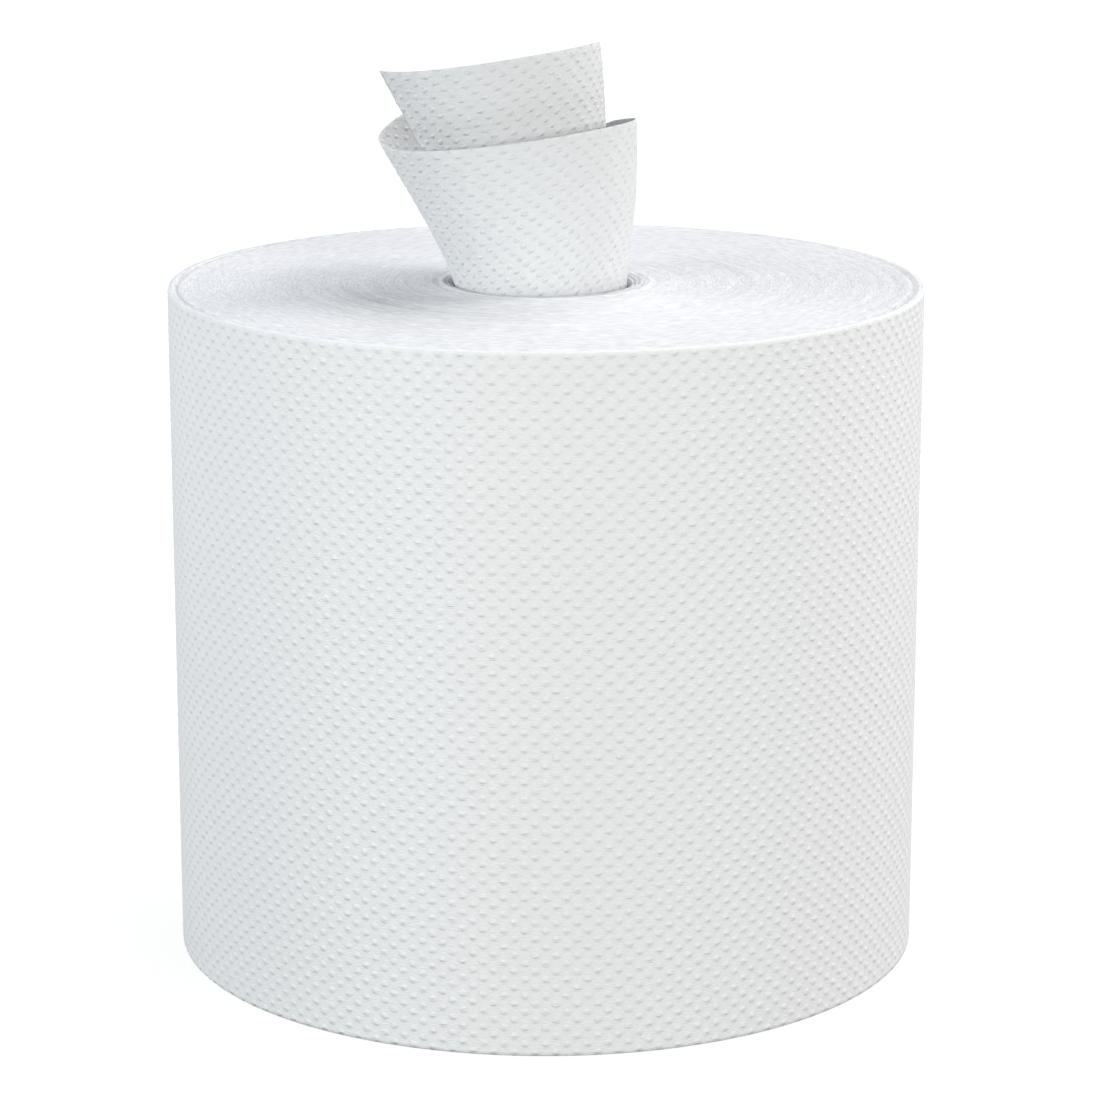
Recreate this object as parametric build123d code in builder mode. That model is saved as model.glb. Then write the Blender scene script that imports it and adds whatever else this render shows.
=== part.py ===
"""A coreless centre-pull paper towel roll, standing on one end with the inner end of its web pulled up.

One long web of embossed towel paper is wound on itself round an open hole, with no core. The web's
inner end has been drawn up out of the hole, where it stands as a loose scroll that leans and flares.
It stays one piece with the roll: about two turns on, the scroll winds into the wall of the hole.

Millimetres. The origin is on the roll's axis, on the surface that the roll stands on. +Z is up.
"""
from build123d import *
import os
from math import cos, hypot, radians, sin, tan

# Wound roll
web_width = 203.0          # width of the paper, and so the height of the roll
roll_diameter = 226.0
sheet_thickness = 0.4      # one sheet, over its embossing
hole_diameter = 54.0
hole_x = -1.2              # drawing the web out leaves the hole a little off the roll's axis
hole_y = 2.0

# Turns that show on both ends, as a shallow groove that winds outwards with the web
turn_pitch = 14.0
turn_width = 1.2
turn_depth = 0.5
turn_border = 4.0          # least room left beside the hole and the outer face

# Scroll, as half turns that wind outwards: angles run anticlockwise from +X, past 360 degrees
free_angle = 212.0         # where the web's inner end stands, in the first half turn
joint_angle = 890.0        # where the fourth half turn ends, inside the wound roll
scroll_pitch = 9.2         # from one turn to the next
wall_gap = 1.5             # from the scroll to the wall at +X, deep in the hole
throat_depth = 14.0        # below the roll's top, where the upright web starts to open
throat_flare = 1.8         # widening from there to the mouth
throat_shift = 1.2         # how far the mouth lies to +X of the middle of the hole
lean_angle = 15.0          # of the scroll's axis, to -X
flare_angle = 14.6         # of the scroll's face from that axis

# Top edge of the scroll, above the roll
edge_height = 40.0         # where the fourth half turn starts, without the slant
edge_drop = 22.7           # fall from one turn to the next
edge_slant = 8.5           # rise at +X and fall at -X
edge_sink = 1.0            # how far inside the roll's ends the web's edges lie at the joint

roll_radius = roll_diameter / 2
hole_radius = hole_diameter / 2
half_pitch = scroll_pitch / 2
sheet_width = web_width - 2 * edge_sink
lean = radians(lean_angle)
flare = tan(radians(flare_angle))
scroll_reach = 2 * (edge_height + edge_drop + edge_slant)


def half_radius(half):
    """Radius of a half turn of the upright web."""
    return hole_radius - wall_gap - half_pitch / 2 + half_pitch * (half - 3)


def half_centre(half):
    """Its middle, beside the middle of the hole. Half turns 1 and 3 are in front, 2 and 4 at the back."""
    return half_pitch / 2 if half % 2 else -half_pitch / 2


def edge_point(half):
    """Where the top edge stands at the end of a half turn, across the hole and above the roll."""
    side = 1 if half % 2 else -1
    height = edge_height + edge_drop * (3 - half) / 2 + edge_slant * side
    if half == 4:
        height = -edge_sink
    start = half_centre(half) + throat_shift + side * (half_radius(half) + throat_flare)
    rise = (height - start * sin(lean)) / (cos(lean) + side * flare * sin(lean))
    across = start + side * flare * rise
    return (across * cos(lean) - rise * sin(lean), height)


def edge_plane(half, lowered=0.0):
    """The slanting plane that the web's edge lies in along a half turn."""
    ends = sorted([edge_point(half - 1), edge_point(half)])
    along = Vector(ends[1][0] - ends[0][0], 0, ends[1][1] - ends[0][1])
    corner = (hole_x + ends[0][0], hole_y, web_width + ends[0][1] - lowered)
    return Plane(corner, x_dir=along, z_dir=along.cross(Vector(0, 1, 0)))


# The web's inner end, one half turn after another
throat = Plane((hole_x, hole_y, web_width - throat_depth))
mouth = Plane((hole_x, hole_y, web_width), x_dir=(cos(lean), 0, sin(lean)), z_dir=(-sin(lean), 0, cos(lean)))
half_turns = []
for half in (1, 2, 3, 4):
    first_angle = free_angle if half == 1 else 180 * half
    last_angle = joint_angle if half == 4 else 180 * (half + 1)
    sweep = last_angle - first_angle
    centre = half_centre(half)
    radius = half_radius(half)
    mouth_centre = centre + throat_shift
    mouth_radius = radius + throat_flare

    with BuildPart() as half_turn:
        # Upright in the hole
        with BuildSketch(throat) as upright:
            with BuildLine():
                inside = CenterArc((centre, 0), radius, first_angle, sweep)
                outside = CenterArc((centre, 0), radius + sheet_thickness, first_angle, sweep)
                Line(inside @ 0, outside @ 0)
                Line(inside @ 1, outside @ 1)
            make_face()
        extrude(amount=-web_width)

        # Opening in the throat
        with BuildSketch(mouth) as opening:
            with BuildLine():
                inside = CenterArc((mouth_centre, 0), mouth_radius, first_angle, sweep)
                outside = CenterArc((mouth_centre, 0), mouth_radius + sheet_thickness, first_angle, sweep)
                Line(inside @ 0, outside @ 0)
                Line(inside @ 1, outside @ 1)
            make_face()
        loft(sections=[upright.sketch, opening.sketch])

        # Flaring above the roll
        axis = Axis(mouth.from_local_coords((mouth_centre, 0, 0)), mouth.z_dir)
        outward = mouth.x_dir.rotate(Axis((0, 0, 0), mouth.z_dir), first_angle)
        with BuildSketch(Plane(axis.position, x_dir=outward, z_dir=outward.cross(mouth.z_dir))) as flaring:
            with BuildLine():
                Polyline(
                    (mouth_radius, 0),
                    (mouth_radius + sheet_thickness, 0),
                    (mouth_radius + sheet_thickness + flare * scroll_reach, scroll_reach),
                    (mouth_radius + flare * scroll_reach, scroll_reach),
                    close=True,
                )
            make_face()
        revolve(flaring.sketch, axis=axis, revolution_arc=sweep)

        # Cut to the width of the web
        split(bisect_by=edge_plane(half), keep=Keep.BOTTOM)
        split(bisect_by=edge_plane(half, lowered=sheet_width), keep=Keep.TOP)
    half_turns.append(half_turn.part)

# The whole web
with BuildPart() as towel_roll:
    # Two half turns make the outer face, so the web's glued-down outer end is a step at the back
    with BuildSketch():
        with BuildLine():
            CenterArc((0, 0), roll_radius, -90, 180)
            CenterArc((0, -sheet_thickness / 2), roll_radius - sheet_thickness / 2, 90, 180)
            Line((0, roll_radius), (0, roll_radius - sheet_thickness))
        make_face()
        with Locations((hole_x, hole_y)):
            Circle(hole_radius, mode=Mode.SUBTRACT)
    extrude(amount=web_width)

    # Half turns about two centres make the spiral on both ends, from the back to the back
    first_radius = hole_radius + hypot(hole_x, hole_y) + turn_border
    last_radius = roll_radius - sheet_thickness - turn_border - turn_width
    turns = int((last_radius - first_radius) / turn_pitch)
    for floor in (Plane.XY, Plane.XY.offset(web_width - turn_depth)):
        with BuildSketch(floor):
            with BuildLine():
                for half in range(2 * turns):
                    centre = (0, turn_pitch / 2 * (half % 2))
                    for radius in (first_radius, first_radius + turn_width):
                        CenterArc(centre, radius + turn_pitch / 2 * half, 90 + 180 * half, 180)
                for radius in (first_radius, first_radius + turn_pitch * turns):
                    Line((0, radius), (0, radius + turn_width))
            make_face()
        extrude(amount=turn_depth, mode=Mode.SUBTRACT)

    # The scroll winds into the wall of the hole
    add(half_turns)

towel_roll.part.label = "towel_roll"

os.makedirs("parts", exist_ok=True)
export_step(towel_roll.part, "parts/towel_roll.step")
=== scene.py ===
"""A coreless centre-pull paper towel roll, standing on one end on a white studio floor.

It is one long web of embossed towel paper. The scene shows that web as the outermost turn, the turns wound
up inside it, and the inner end that has been drawn up out of the middle as a loose scroll.
Metres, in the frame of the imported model: the origin is under the roll's axis, and +Z is up.
"""
from math import cos, pi, radians, sin

import bpy
import numpy as np
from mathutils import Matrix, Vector


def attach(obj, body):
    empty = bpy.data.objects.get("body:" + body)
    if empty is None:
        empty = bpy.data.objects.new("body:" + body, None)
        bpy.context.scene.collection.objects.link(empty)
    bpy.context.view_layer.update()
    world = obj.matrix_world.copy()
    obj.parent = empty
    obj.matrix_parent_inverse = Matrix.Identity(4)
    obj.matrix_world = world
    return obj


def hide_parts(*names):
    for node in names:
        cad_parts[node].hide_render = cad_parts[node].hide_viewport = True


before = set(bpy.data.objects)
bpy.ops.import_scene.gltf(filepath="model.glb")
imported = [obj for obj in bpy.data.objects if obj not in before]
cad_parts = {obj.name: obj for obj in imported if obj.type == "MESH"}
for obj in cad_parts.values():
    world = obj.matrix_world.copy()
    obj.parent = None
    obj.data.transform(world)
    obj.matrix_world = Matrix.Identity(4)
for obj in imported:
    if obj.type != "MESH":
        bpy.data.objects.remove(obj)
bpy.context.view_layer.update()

# Outermost turn
# The last turn of the web of soft bleached paper, with small raised dots pressed in by embossing rolls.
# Its outer end is glued down at the back of the roll, where the cut edge shows as a thin step.

ROLL_RADIUS = 0.113
WEB_WIDTH = 0.203
SHEET_THICKNESS = 0.0004
RIM_ROUNDING = 0.0003
WRAP_DEPTH = 0.0008
SEAM_ANGLE = pi / 2
DOTS_ROUND = 120
DOTS_ACROSS = 42
DOT_SPACING = (2 * pi * ROLL_RADIUS / DOTS_ROUND, WEB_WIDTH / DOTS_ACROSS)
DOT_RADII = (0.0016, 0.0013)
DOT_HEIGHT = 0.00018
FACES_PER_DOT = 4

# The dots' rounding in the material, and where a dot's crease with its painted shade lies and how wide it is,
# in dot radii
DOT_BUMP = 0.00032
LEAST_DOT = 0.7
DOT_VARIETY = 0.6
CREASE_PLACE = 0.95
CREASE_WIDTH = 0.55

FIBRES_PER_METRE = (260.0, 1100.0, 0.0)
FUZZ_HEIGHT = 0.00022
PALE_PAPER = (0.905, 0.91, 0.91)
DULL_PAPER = (0.865, 0.873, 0.875)
# Painted shade: the colour laid in the dots' creases, a little darker than the paper
PAINTED_CREASE_SHADE_PAPER = (0.86, 0.868, 0.872)


def math_node(tree, operation, *values):
    """The result of a math node on these values, each of which is a number or a socket."""
    node = tree.nodes.new("ShaderNodeMath")
    node.operation = operation
    for socket, value in zip(node.inputs, values):
        if isinstance(value, float):
            socket.default_value = value
        else:
            tree.links.new(value, socket)
    return node.outputs[0]


def nearest_dot(tree, web, spacings, radii):
    """Nodes for the distance from a place on the web to the nearest dot, counted in dot radii. The dots stand
    on two lattices, half a spacing apart. Each argument is a pair of sockets, along and across the web."""
    distances = []
    for shift in (0.0, 0.5):
        squares = []
        for place, spacing, radius in zip(web, spacings, radii):
            cells = math_node(tree, "ADD", math_node(tree, "DIVIDE", place, spacing), shift)
            offset = math_node(tree, "SUBTRACT", cells, math_node(tree, "ROUND", cells))
            away = math_node(tree, "DIVIDE", math_node(tree, "MULTIPLY", offset, spacing), radius)
            squares.append(math_node(tree, "POWER", away, 2.0))
        distances.append(math_node(tree, "SQRT", math_node(tree, "ADD", *squares)))
    return math_node(tree, "MINIMUM", *distances)


def low_dome(tree, distance):
    """Nodes for a dot's height, which falls from 1 at its middle to 0 at a soft foot."""
    dome = tree.nodes.new("ShaderNodeMapRange")
    dome.interpolation_type = "SMOOTHSTEP"
    tree.links.new(distance, dome.inputs["Value"])
    dome.inputs["From Min"].default_value = 1.0
    dome.inputs["From Max"].default_value = 0.0
    return dome.outputs["Result"]


DOT_LABELS = ("Spacing Along", "Spacing Across", "Radius Along", "Radius Across")


def embossing():
    """Geometry nodes that push dots out of a web. The point attribute "web" holds how far along and how
    far across the web a point is, and how freely it may move."""
    tree = bpy.data.node_groups.new("dot embossing", "GeometryNodeTree")
    tree.interface.new_socket("Web", in_out="INPUT", socket_type="NodeSocketGeometry")
    for label in (*DOT_LABELS, "Dot Height"):
        tree.interface.new_socket(label, in_out="INPUT", socket_type="NodeSocketFloat")
    tree.interface.new_socket("Paper", in_out="INPUT", socket_type="NodeSocketMaterial")
    tree.interface.new_socket("Web", in_out="OUTPUT", socket_type="NodeSocketGeometry")
    given = tree.nodes.new("NodeGroupInput")
    result = tree.nodes.new("NodeGroupOutput")
    web = tree.nodes.new("GeometryNodeInputNamedAttribute")
    web.data_type = "FLOAT_VECTOR"
    web.inputs["Name"].default_value = "web"
    parts = tree.nodes.new("ShaderNodeSeparateXYZ")
    tree.links.new(web.outputs["Attribute"], parts.inputs[0])
    sizes = [given.outputs[label] for label in DOT_LABELS]
    distance = nearest_dot(tree, (parts.outputs["X"], parts.outputs["Y"]), sizes[:2], sizes[2:])
    freely = math_node(tree, "MULTIPLY", low_dome(tree, distance), parts.outputs["Z"])
    height = math_node(tree, "MULTIPLY", freely, given.outputs["Dot Height"])

    push = tree.nodes.new("ShaderNodeVectorMath")
    push.operation = "SCALE"
    tree.links.new(tree.nodes.new("GeometryNodeInputNormal").outputs[0], push.inputs[0])
    tree.links.new(height, push.inputs["Scale"])
    move = tree.nodes.new("GeometryNodeSetPosition")
    tree.links.new(given.outputs["Web"], move.inputs["Geometry"])
    tree.links.new(push.outputs[0], move.inputs["Offset"])
    realize = tree.nodes.new("GeometryNodeRealizeInstances")
    tree.links.new(move.outputs[0], realize.inputs[0])
    paint = tree.nodes.new("GeometryNodeSetMaterial")
    tree.links.new(realize.outputs[0], paint.inputs["Geometry"])
    tree.links.new(given.outputs["Paper"], paint.inputs["Material"])
    tree.links.new(paint.outputs[0], result.inputs[0])
    return tree


dot_embossing = embossing()


def plain_again(piece, modifier):
    """Turns what a modifier makes of a piece into its mesh."""
    depsgraph = bpy.context.evaluated_depsgraph_get()
    made = bpy.data.meshes.new_from_object(piece.evaluated_get(depsgraph))
    piece.modifiers.remove(modifier)
    piece.data = made


def emboss(piece, spacing, radii, paper):
    """Presses the dots into a piece and leaves it a plain mesh."""
    modifier = piece.modifiers.new("dot embossing", "NODES")
    modifier.node_group = dot_embossing
    values = dict(zip(DOT_LABELS, (*spacing, *radii)))
    values["Dot Height"] = DOT_HEIGHT
    values["Paper"] = paper
    for socket in dot_embossing.interface.items_tree:
        if socket.in_out == "INPUT" and socket.name in values:
            modifier[socket.identifier] = values[socket.name]
    plain_again(piece, modifier)


def paper_fibres():
    """Shader nodes for the fibres of soft paper: streaks of shade, and a fine fuzz to bump with. Place is
    counted in fibre lengths and breadths."""
    group = bpy.data.node_groups.new("paper fibres", "ShaderNodeTree")
    group.interface.new_socket("Place", in_out="INPUT", socket_type="NodeSocketVector")
    group.interface.new_socket("Streaks", in_out="OUTPUT", socket_type="NodeSocketFloat")
    group.interface.new_socket("Fuzz", in_out="OUTPUT", socket_type="NodeSocketFloat")
    given = group.nodes.new("NodeGroupInput")
    result = group.nodes.new("NodeGroupOutput")
    noise = group.nodes.new("ShaderNodeTexNoise")
    noise.inputs["Scale"].default_value = 1.0
    noise.inputs["Detail"].default_value = 3.0
    group.links.new(given.outputs["Place"], noise.inputs["Vector"])
    streaks = group.nodes.new("ShaderNodeMapRange")
    streaks.inputs["From Min"].default_value = 0.3
    streaks.inputs["From Max"].default_value = 0.7
    group.links.new(noise.outputs["Fac"], streaks.inputs["Value"])
    group.links.new(streaks.outputs["Result"], result.inputs["Streaks"])
    fuzz = group.nodes.new("ShaderNodeTexNoise")
    fuzz.inputs["Scale"].default_value = 2.7
    fuzz.inputs["Detail"].default_value = 2.0
    group.links.new(given.outputs["Place"], fuzz.inputs["Vector"])
    group.links.new(fuzz.outputs["Fac"], result.inputs["Fuzz"])
    return group


fibres = paper_fibres()


def pressed_dots():
    """Shader nodes for the dots' round shape, finer than the mesh: a dome, and a mask of the crease round its
    foot, for painted shade.
    """
    group = bpy.data.node_groups.new("pressed dots", "ShaderNodeTree")
    group.interface.new_socket("Web", in_out="INPUT", socket_type="NodeSocketVector")
    for label in DOT_LABELS:
        group.interface.new_socket(label, in_out="INPUT", socket_type="NodeSocketFloat")
    group.interface.new_socket("Dome", in_out="OUTPUT", socket_type="NodeSocketFloat")
    group.interface.new_socket("Crease Shade Mask", in_out="OUTPUT", socket_type="NodeSocketFloat")
    given = group.nodes.new("NodeGroupInput")
    result = group.nodes.new("NodeGroupOutput")
    parts = group.nodes.new("ShaderNodeSeparateXYZ")
    group.links.new(given.outputs["Web"], parts.inputs[0])
    sizes = [given.outputs[label] for label in DOT_LABELS]
    distance = nearest_dot(group, (parts.outputs["X"], parts.outputs["Y"]), sizes[:2], sizes[2:])
    group.links.new(low_dome(group, distance), result.inputs["Dome"])
    # A ring round the dot's foot, the mask for the painted crease shade
    aside = math_node(group, "ABSOLUTE", math_node(group, "SUBTRACT", distance, CREASE_PLACE))
    crease = group.nodes.new("ShaderNodeMapRange")
    crease.interpolation_type = "SMOOTHSTEP"
    group.links.new(aside, crease.inputs["Value"])
    crease.inputs["From Min"].default_value = CREASE_WIDTH
    crease.inputs["From Max"].default_value = 0.0
    group.links.new(crease.outputs["Result"], result.inputs["Crease Shade Mask"])
    return group


dots = pressed_dots()


def embossed_paper(name, spacing, radii, pale, dull, crease_shade):
    """Soft bleached towel paper: pale, dull between the fibres, and the crease colour round the dots' feet,
    painted shade where it is darker.
    """
    material = bpy.data.materials.new(name)
    material.use_nodes = True
    tree = material.node_tree
    nodes = tree.nodes
    links = tree.links
    shader = nodes["Principled BSDF"]
    shader.inputs["Roughness"].default_value = 0.92
    shader.inputs["Specular IOR Level"].default_value = 0.25
    web = nodes.new("ShaderNodeAttribute")
    web.attribute_name = "web"
    fibre_size = nodes.new("ShaderNodeMapping")
    fibre_size.inputs["Scale"].default_value = FIBRES_PER_METRE
    links.new(web.outputs["Vector"], fibre_size.inputs["Vector"])
    grain = nodes.new("ShaderNodeGroup")
    grain.node_tree = fibres
    links.new(fibre_size.outputs["Vector"], grain.inputs["Place"])
    relief = nodes.new("ShaderNodeGroup")
    relief.node_tree = dots
    links.new(web.outputs["Vector"], relief.inputs["Web"])
    for label, size in zip(DOT_LABELS, (*spacing, *radii)):
        relief.inputs[label].default_value = size

    tint = nodes.new("ShaderNodeMix")
    tint.data_type = "RGBA"
    tint.inputs["A"].default_value = (*dull, 1.0)
    tint.inputs["B"].default_value = (*pale, 1.0)
    links.new(grain.outputs["Streaks"], tint.inputs["Factor"])
    # Painted shade: the crease colour laid round each dot's foot
    shade = nodes.new("ShaderNodeMix")
    shade.data_type = "RGBA"
    links.new(tint.outputs["Result"], shade.inputs["A"])
    shade.inputs["B"].default_value = (*crease_shade, 1.0)
    links.new(relief.outputs["Crease Shade Mask"], shade.inputs["Factor"])
    links.new(shade.outputs["Result"], shader.inputs["Base Color"])

    # The creped paper takes the dots unevenly
    evenness = math_node(tree, "MULTIPLY_ADD", grain.outputs["Streaks"], DOT_VARIETY, LEAST_DOT)
    uneven = math_node(tree, "MULTIPLY", relief.outputs["Dome"], evenness)
    raised = nodes.new("ShaderNodeBump")
    raised.inputs["Distance"].default_value = DOT_BUMP
    links.new(uneven, raised.inputs["Height"])
    fuzzy = nodes.new("ShaderNodeBump")
    fuzzy.inputs["Strength"].default_value = 0.9
    fuzzy.inputs["Distance"].default_value = FUZZ_HEIGHT
    links.new(grain.outputs["Fuzz"], fuzzy.inputs["Height"])
    links.new(raised.outputs["Normal"], fuzzy.inputs["Normal"])
    links.new(fuzzy.outputs["Normal"], shader.inputs["Normal"])
    return material


def plain_mesh(name, points, faces, sharp, attribute, values):
    """An object of these points and faces, with one attribute on its points. As many faces as sharp says, at
    the end of the list, are flat, and the rest are smooth."""
    mesh = bpy.data.meshes.new(name)
    mesh.from_pydata(points, [], faces)
    mesh.polygons.foreach_set("use_smooth", np.arange(len(faces)) < len(faces) - sharp)
    mesh.attributes.new(attribute, "FLOAT_VECTOR", "POINT").data.foreach_set("vector", np.ravel(values))
    piece = bpy.data.objects.new(name, mesh)
    bpy.context.collection.objects.link(piece)
    return piece


def outer_wrap():
    """The outermost turn as a thin ring, its rows and columns of points in step with the dots."""
    columns = DOTS_ROUND * FACES_PER_DOT
    row_height = DOT_SPACING[1] / FACES_PER_DOT
    rows = np.arange(DOTS_ACROSS * FACES_PER_DOT + 1) * row_height
    rows = np.concatenate([[0.0, RIM_ROUNDING], rows[1:-1], [WEB_WIDTH - RIM_ROUNDING, WEB_WIDTH]])
    inset = np.zeros(len(rows))
    inset[[0, -1]] = RIM_ROUNDING
    freedom = np.ones(len(rows))
    freedom[[0, 1, -2, -1]] = 0.0
    count = len(rows)

    # Two half turns of different radius, so the web's end stands a sheet's thickness out of the turn below it
    angle = SEAM_ANGLE + 2 * pi * np.arange(columns + 1) / columns
    left = angle <= SEAM_ANGLE + pi
    radius = np.where(left, ROLL_RADIUS - SHEET_THICKNESS / 2, ROLL_RADIUS)
    middle = np.where(left, -SHEET_THICKNESS / 2, 0.0)
    x = (radius[:, None] - inset) * np.cos(angle)[:, None]
    y = middle[:, None] + (radius[:, None] - inset) * np.sin(angle)[:, None]
    z = np.tile(rows, (columns + 1, 1))
    outer = np.stack([x, y, z], axis=2).reshape(-1, 3)
    length = ROLL_RADIUS * (angle - angle[0])
    along = np.repeat(length, count)
    across = np.tile(rows + row_height, columns + 1)
    outer_web = np.stack([along, across, np.tile(freedom, columns + 1)], axis=1)

    # The inner face is a plain ring
    depth = ROLL_RADIUS - WRAP_DEPTH
    ring = angle[:-1]
    low = np.stack([depth * np.cos(ring), depth * np.sin(ring), np.zeros(columns)], axis=1)
    high = low + (0, 0, WEB_WIDTH)
    inner_web = np.stack([length[:-1], np.full(columns, row_height), np.zeros(columns)], axis=1)
    low_web = inner_web - (0, WRAP_DEPTH, 0)
    high_web = inner_web + (0, WEB_WIDTH + WRAP_DEPTH, 0)
    first_low = len(outer)
    first_high = first_low + columns
    faces = []
    crisp = []
    for column in range(columns):
        here = column * count
        there = here + count
        inner = (column + 1) % columns
        for row in range(count - 1):
            faces.append((here + row, there + row, there + row + 1, here + row + 1))
        crisp.append((here, first_low + column, first_low + inner, there))
        crisp.append((there + count - 1, first_high + inner, first_high + column, here + count - 1))
        crisp.append((first_low + column, first_high + column, first_high + inner, first_low + inner))

    # The cut end of the web
    last = columns * count
    for row in range(count - 1):
        crisp.append((last + row, row, row + 1, last + row + 1))
    crisp.append((last, first_low, 0))
    crisp.append((last + count - 1, count - 1, first_high))
    points = np.concatenate([outer, low, high])
    web = np.concatenate([outer_web, low_web, high_web])
    return plain_mesh("outer_wrap", points, faces + crisp, len(crisp), "web", web)


wrap = outer_wrap()
wrap_paper = embossed_paper(
    "embossed paper", DOT_SPACING, DOT_RADII, PALE_PAPER, DULL_PAPER, PAINTED_CREASE_SHADE_PAPER
)
emboss(wrap, DOT_SPACING, DOT_RADII, wrap_paper)
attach(wrap, "root")
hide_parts("towel_roll")

# Wound turns
# Every other turn of the web, wound tight with no core, so only the paper's cut edges show on the two ends.
# The hole in the middle was left when the winding mandrel was drawn out, and the turns round it are loose.

HOLE_RADIUS = 0.027
HOLE_PLACE = (-0.0012, 0.0020)
TURN_RELIEF = 0.00018
WINDING_SEED = 7

# How far from the hole's wall each loose turn is and how high it stands, and how much of that distance it has
# slipped to the right
LOOSE_TURNS = (
    (0.0, -0.0030), (0.0002, -0.0008), (0.0004, -0.0006), (0.0006, -0.0045), (0.0009, -0.0045),
    (0.0011, -0.0004), (0.0013, -0.0002), (0.0015, -0.0028), (0.0017, -0.0028), (0.0020, -0.0001),
    (0.0022, 0.0), (0.0025, -0.0014), (0.0028, 0.0), (0.0032, -0.0007), (0.0036, 0.0),
)
LOOSE_SHIFT = 0.4

EDGE_FIBRES_PER_METRE = (2600.0, 260.0, 260.0)
EDGE_FUZZ_HEIGHT = 0.00012
DULL_EDGE = (0.67, 0.678, 0.703)
PALE_EDGE = (0.925, 0.93, 0.948)


def turn_edges():
    """Soft paper seen at its cut edges, in fine rings of short fibres."""
    material = bpy.data.materials.new("paper turn edges")
    material.use_nodes = True
    nodes = material.node_tree.nodes
    links = material.node_tree.links
    shader = nodes["Principled BSDF"]
    shader.inputs["Roughness"].default_value = 0.95
    shader.inputs["Specular IOR Level"].default_value = 0.15
    wind = nodes.new("ShaderNodeAttribute")
    wind.attribute_name = "wind"
    fibre_size = nodes.new("ShaderNodeMapping")
    fibre_size.inputs["Scale"].default_value = EDGE_FIBRES_PER_METRE
    links.new(wind.outputs["Vector"], fibre_size.inputs["Vector"])
    grain = nodes.new("ShaderNodeGroup")
    grain.node_tree = fibres
    links.new(fibre_size.outputs["Vector"], grain.inputs["Place"])
    tint = nodes.new("ShaderNodeMix")
    tint.data_type = "RGBA"
    tint.inputs["A"].default_value = (*DULL_EDGE, 1.0)
    tint.inputs["B"].default_value = (*PALE_EDGE, 1.0)
    links.new(grain.outputs["Streaks"], tint.inputs["Factor"])
    links.new(tint.outputs["Result"], shader.inputs["Base Color"])
    bump = nodes.new("ShaderNodeBump")
    bump.inputs["Strength"].default_value = 0.5
    bump.inputs["Distance"].default_value = EDGE_FUZZ_HEIGHT
    links.new(grain.outputs["Streaks"], bump.inputs["Height"])
    links.new(bump.outputs["Normal"], shader.inputs["Normal"])
    return material


def wound_turns():
    """Rings from the hole's wall to the outermost turn, on both ends of the roll, at uneven heights."""
    columns = 288
    rings = 90
    angle = 2 * pi * np.arange(columns) / columns
    gaps, heights = np.transpose(LOOSE_TURNS)
    depth = ROLL_RADIUS - WRAP_DEPTH - HOLE_RADIUS
    tight = np.linspace(gaps[-1], depth, rings + 2 - len(gaps))
    share = np.concatenate([gaps, tight[1:]]) / depth
    radius = HOLE_RADIUS + share * depth
    tightening = gaps[-1] * (1 - share) / (1 - share[len(gaps) - 1])
    shift = LOOSE_SHIFT * np.minimum(share * depth, tightening)
    relief = -np.random.default_rng(WINDING_SEED).exponential(TURN_RELIEF, rings + 1)
    relief[:len(heights)] = heights
    relief[-2:] = 0.0
    points = []
    wind = []
    for ring in range(rings + 1):
        x = (1 - share[ring]) * HOLE_PLACE[0] + shift[ring] + radius[ring] * np.cos(angle)
        y = (1 - share[ring]) * HOLE_PLACE[1] + radius[ring] * np.sin(angle)
        for z in (-relief[ring], WEB_WIDTH + relief[ring]):
            points.append(np.stack([x, y, np.full(columns, z)], axis=1))
            wind.append(np.stack([np.full(columns, radius[ring]), x, y], axis=1))
    faces = []
    walls = []
    step = 2 * columns
    last = rings * step
    for column in range(columns):
        after = (column + 1) % columns
        for ring in range(rings):
            low = ring * step
            high = low + columns
            faces.append((low + column, low + after, low + step + after, low + step + column))
            faces.append((high + column, high + step + column, high + step + after, high + after))
        walls.append((column, columns + column, columns + after, after))
        walls.append((last + column, last + after, last + columns + after, last + columns + column))
    points = np.concatenate(points)
    return plain_mesh("wound_turns", points, faces + walls, len(walls), "wind", np.concatenate(wind))


turns = wound_turns()
turns.data.materials.append(turn_edges())
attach(turns, "root")
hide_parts("towel_roll")

# Pulled-up scroll
# The inner end of the web, one sheet thick, drawn up out of the hole. It springs open into a loose scroll of
# two turns that leans and flares, and further on it turns back into the innermost turn of the roll.

# Degrees that the web has wound through at its free end, at the hole's wall, and where it goes down and joins
FREE_ANGLE = 212.0
WALL_ANGLE = 720.0
DIVE_ANGLE = 750.0
JOINT_ANGLE = 890.0

# The web's top edge: its height at the hole's wall, what it gains by the turn, and its tilt to the right
EDGE_HEIGHT = 0.0400
EDGE_CLIMB = 0.0227
EDGE_TILT = 0.0085
JOINT_DEPTH = 0.001
JOINT_RADIUS = HOLE_RADIUS + 0.0006

# The scroll's radius at the hole's wall, and what it loses by the turn and gains with height
SCROLL_RADIUS = HOLE_RADIUS - 0.0010
TURN_SLACK = 0.0095
SLACK_ROUNDING = 0.06
FLARE = 0.39
FLARE_EASING = 1.2
LEAN = 0.26
LEAN_GROWTH = 0.5
BEND_ROUNDING = 0.014

# Within this height of the hole the scroll is pinched in and pushed to the left
BASE_HEIGHT = 0.03
BASE_PINCH = 0.0004
BASE_PUSH = 0.0009

PLY_THICKNESS = 0.0002
SCROLL_SPACING = (0.00565, 0.0038)
SCROLL_RADII = (0.0014, 0.00095)
PLAIN_EDGE = 0.0006
DOT_SLANT = 0.55
SLANT_MIDDLE = 0.025
SLANT_END = 0.085
SLANT_FADE = 0.03
FLOOR_GAP = 0.002
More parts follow.
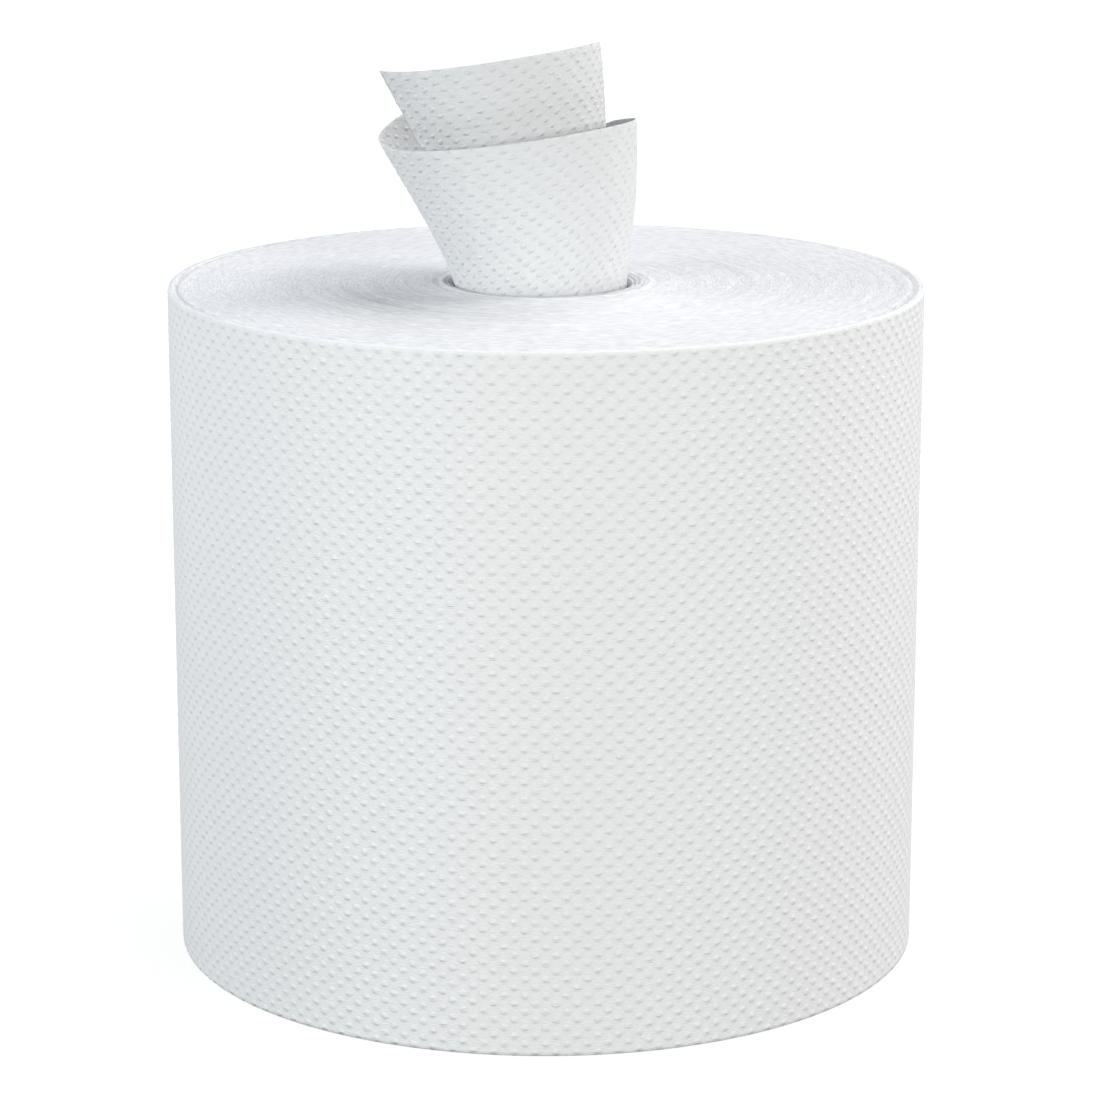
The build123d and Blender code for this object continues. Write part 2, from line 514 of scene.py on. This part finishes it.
# The single sheet's colours are darker than the outer wrap's, partly because one ply reflects less and partly
# as painted shade; its crease colour is near its middle tone
PALE_SHEET = (0.75, 0.757, 0.76)
DULL_SHEET = (0.705, 0.714, 0.718)
CREASED_SHEET = (0.72, 0.729, 0.733)


def ramp(value, width):
    """Near 0 for values below 0 and near the value above it, with a bend of this width between."""
    return (value + np.hypot(value, width)) / 2


def smooth(share):
    """Eases from 0 to 1."""
    share = np.clip(share, 0, 1)
    return share * share * (3 - 2 * share)


def scroll_place(angle, below):
    """Where the web is, by the angle it has wound through and the distance below its top edge."""
    turn = np.radians(angle)
    joining = smooth((angle - DIVE_ANGLE) / (JOINT_ANGLE - DIVE_ANGLE))
    edge = EDGE_HEIGHT - EDGE_CLIMB * (angle - WALL_ANGLE) / 360 + EDGE_TILT * np.cos(turn)
    height = edge * (1 - joining) - JOINT_DEPTH * joining - below
    slack = ramp((WALL_ANGLE - angle) / 360, SLACK_ROUNDING)
    rise = ramp(height, BEND_ROUNDING)
    deep = 1 - smooth(rise / BASE_HEIGHT)
    radius = SCROLL_RADIUS - TURN_SLACK * slack + FLARE * rise - FLARE_EASING * rise**2 - BASE_PINCH * deep
    radius = radius + (JOINT_RADIUS - radius) * joining
    lean = (LEAN * rise + LEAN_GROWTH * rise**2 + BASE_PUSH * deep) * (1 - joining)
    x = HOLE_PLACE[0] - lean + radius * np.cos(turn)
    y = HOLE_PLACE[1] + radius * np.sin(turn)
    return np.stack([x, y, WEB_WIDTH + height], axis=-1)


def pulled_scroll():
    """The scroll as one bent sheet of no thickness."""
    # The web's length, measured along the middle of the part that shows
    steps = 2000
    angle = np.linspace(FREE_ANGLE, JOINT_ANGLE, steps)
    path = scroll_place(angle, np.full(steps, SLANT_MIDDLE))
    length = np.concatenate([[0.0], np.cumsum(np.linalg.norm(np.diff(path, axis=0), axis=1))])

    # The web is drawn out askew, so its dots stand in slanting columns, which the mesh follows
    columns = int(length[-1] / SCROLL_SPACING[0] * FACES_PER_DOT)
    along = np.linspace(0, length[-1], columns + 1)
    shown = np.arange(0, SLANT_END, SCROLL_SPACING[1] / FACES_PER_DOT)
    hidden_rows = 12
    hidden = np.linspace(shown[-1], WEB_WIDTH - FLOOR_GAP, hidden_rows + 1)[1:]
    below = np.concatenate([shown, hidden])
    count = len(below)
    slant = DOT_SLANT * (np.minimum(below, SLANT_END) - SLANT_MIDDLE)
    loose = smooth(along / SLANT_FADE) * smooth((length[-1] - along) / SLANT_FADE)
    straight = along[:, None] - slant[None, :] * loose[:, None]
    depth = np.tile(below, (columns + 1, 1))
    points = scroll_place(np.interp(straight, length, angle), depth).reshape(-1, 3)
    freedom = np.tile((below > PLAIN_EDGE) & (below < SLANT_END), (columns + 1, 1))
    web = np.stack([straight + slant[None, :], depth, freedom.astype(float)], axis=2).reshape(-1, 3)
    faces = []
    for column in range(columns):
        here = column * count
        there = here + count
        for row in range(count - 1):
            faces.append((here + row, here + row + 1, there + row + 1, there + row))
    return plain_mesh("pulled_scroll", points, faces, 0, "web", web)


scroll = pulled_scroll()
# The scroll's darker paper is partly painted shade
scroll_paper = embossed_paper(
    "single sheet with painted shade", SCROLL_SPACING, SCROLL_RADII, PALE_SHEET, DULL_SHEET, CREASED_SHEET
)
emboss(scroll, SCROLL_SPACING, SCROLL_RADII, scroll_paper)
both_sides = 2 * len(scroll.data.polygons)
thickness = scroll.modifiers.new("sheet thickness", "SOLIDIFY")
thickness.thickness = PLY_THICKNESS
thickness.offset = 1.0
plain_again(scroll, thickness)
scroll.data.polygons.foreach_set("use_smooth", np.arange(len(scroll.data.polygons)) < both_sides)
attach(scroll, "root")
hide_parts("towel_roll")

# Floor and studio light
# A floor and backdrop that the camera sees as plain white, apart from the soft shadow under the roll. Six
# softboxes stand round it: three low ones in front and on the right, a raised one on the left, two high up.

FLOOR_REACH = 6.0
SHADED_FROM = 0.12
SHADED_TO = 0.6
SHADED_WHITE = 0.88
FILL_STRENGTH = 0.13
LIGHT_DISTANCE = 2.0
LIGHT_TARGET = Vector((0, 0, 0.14))
SOFTBOX_SIZE = 0.9

# Name, degrees from the front to the right, degrees up, watts and colour
SOFTBOXES = (
    ("left light", -86, 25, 15.5, (0.87, 0.94, 1.0)),
    ("front left light", -42, 14, 18.0, (0.98, 1.0, 1.0)),
    ("front right light", 38, 12, 23.0, (0.99, 1.0, 0.98)),
    ("right light", 120, 12, 4.5, (1.0, 0.96, 0.98)),
    ("upper right light", 104, 50, 18.5, (1.0, 0.98, 0.97)),
    ("upper back light", 160, 58, 14.0, (0.93, 0.95, 1.0)),
)


def shown_white(tree):
    """Nodes that are 1 where the camera sees the floor or backdrop, directly or in gloss or glass."""
    path = tree.nodes.new("ShaderNodeLightPath")
    seen = path.outputs["Is Camera Ray"]
    for other in ("Is Glossy Ray", "Is Transmission Ray"):
        seen = math_node(tree, "MAXIMUM", seen, path.outputs[other])
    return seen


def white_floor():
    """A floor that glows white to the camera and returns little light to the roll."""
    material = bpy.data.materials.new("white floor")
    material.use_nodes = True
    tree = material.node_tree
    shader = tree.nodes["Principled BSDF"]
    shader.inputs["Base Color"].default_value = (0.15, 0.15, 0.15, 1.0)
    shader.inputs["Roughness"].default_value = 0.9
    shader.inputs["Specular IOR Level"].default_value = 0.0
    shader.inputs["Emission Color"].default_value = (1.0, 1.0, 1.0, 1.0)

    # Near the roll some of the white is light on the floor, so that its shadow shows
    place = tree.nodes.new("ShaderNodeTexCoord")
    away = tree.nodes.new("ShaderNodeVectorMath")
    away.operation = "LENGTH"
    tree.links.new(place.outputs["Object"], away.inputs[0])
    white = tree.nodes.new("ShaderNodeMapRange")
    white.inputs["From Min"].default_value = SHADED_FROM
    white.inputs["From Max"].default_value = SHADED_TO
    white.inputs["To Min"].default_value = SHADED_WHITE
    white.inputs["To Max"].default_value = 1.0
    tree.links.new(away.outputs["Value"], white.inputs["Value"])
    glow = math_node(tree, "MULTIPLY", shown_white(tree), white.outputs["Result"])
    tree.links.new(glow, shader.inputs["Emission Strength"])
    return material


corners = [(x * FLOOR_REACH, y * FLOOR_REACH, 0) for x, y in ((-1, -1), (1, -1), (1, 1), (-1, 1))]
floor_mesh = bpy.data.meshes.new("floor")
floor_mesh.from_pydata(corners, [], [(0, 1, 2, 3)])
floor = bpy.data.objects.new("floor", floor_mesh)
floor.data.materials.append(white_floor())
bpy.context.collection.objects.link(floor)

world = bpy.data.worlds.new("studio")
world.use_nodes = True
bpy.context.scene.world = world
backdrop = world.node_tree.nodes["Background"]
backdrop.inputs["Color"].default_value = (1.0, 1.0, 1.0, 1.0)
fill = world.node_tree.nodes.new("ShaderNodeMix")
fill.data_type = "FLOAT"
fill.inputs["A"].default_value = FILL_STRENGTH
fill.inputs["B"].default_value = 1.0
world.node_tree.links.new(shown_white(world.node_tree), fill.inputs["Factor"])
world.node_tree.links.new(fill.outputs["Result"], backdrop.inputs["Strength"])


def softbox(name, azimuth, elevation, power, colour):
    """A square softbox aimed at the roll."""
    light = bpy.data.lights.new(name, "AREA")
    light.size = SOFTBOX_SIZE
    light.energy = power
    light.color = colour
    lamp = bpy.data.objects.new(name, light)
    level = LIGHT_DISTANCE * cos(radians(elevation))
    height = LIGHT_DISTANCE * sin(radians(elevation))
    arm = Vector((level * sin(radians(azimuth)), -level * cos(radians(azimuth)), height))
    lamp.location = LIGHT_TARGET + arm
    lamp.rotation_euler = arm.to_track_quat("Z", "Y").to_euler()
    bpy.context.collection.objects.link(lamp)


for values in SOFTBOXES:
    softbox(*values)

# Camera
# A long lens in front of the roll and above its top, looking a little down.

CAMERA_PLACE = (0.0, -1.107, 0.3935)
CAMERA_DOWN = 13.88
CAMERA_TURN = -0.067

lens = bpy.data.cameras.new("camera")
lens.sensor_width = 36.0
lens.lens = 122.3
camera = bpy.data.objects.new("camera", lens)
camera.location = CAMERA_PLACE
camera.rotation_euler = (radians(90 - CAMERA_DOWN), 0.0, radians(CAMERA_TURN))
bpy.context.collection.objects.link(camera)
bpy.context.scene.camera = camera
bpy.context.scene.view_settings.view_transform = "Standard"
